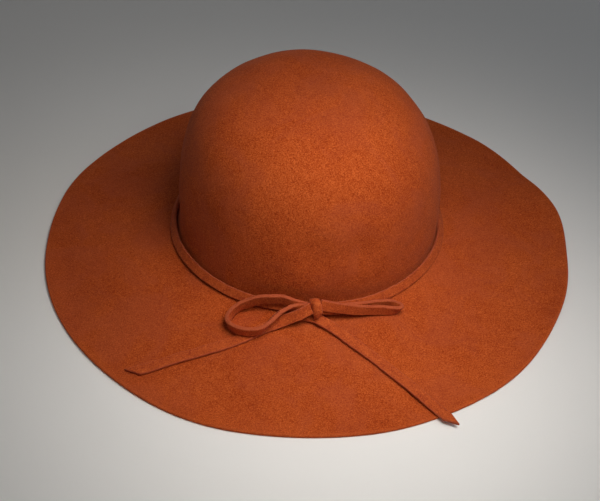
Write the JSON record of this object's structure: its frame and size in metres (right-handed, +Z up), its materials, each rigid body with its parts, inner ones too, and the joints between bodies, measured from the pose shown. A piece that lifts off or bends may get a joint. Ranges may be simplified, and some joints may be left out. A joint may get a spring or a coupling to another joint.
{
  "type": "floppy hat",
  "caption": "Wide-brimmed floppy hat of soft felt with a round dome crown and a flat felt lace tied in a bow at the front.",
  "frame": {"origin": "on the surface that the brim lies on, under the middle of the hat with its loose lace left out", "axes": "+Z up through the crown, -Y towards the front, where the bow is, and +X towards the wearer's left"},
  "size_m": [0.381, 0.3804, 0.1375],
  "materials": {
    "felt": "rust-coloured wool felt with a fine fibrous nap",
    "lace": "flat lace cut from the same felt, a shade redder"
  },
  "bodies": {
    "root": {"felt_body": "felt", "band": "lace", "bow_knot": "lace", "bow_loop_left": "lace", "bow_loop_right": "lace", "tail_left": "lace", "tail_right": "lace"}
  },
  "joints": []
}
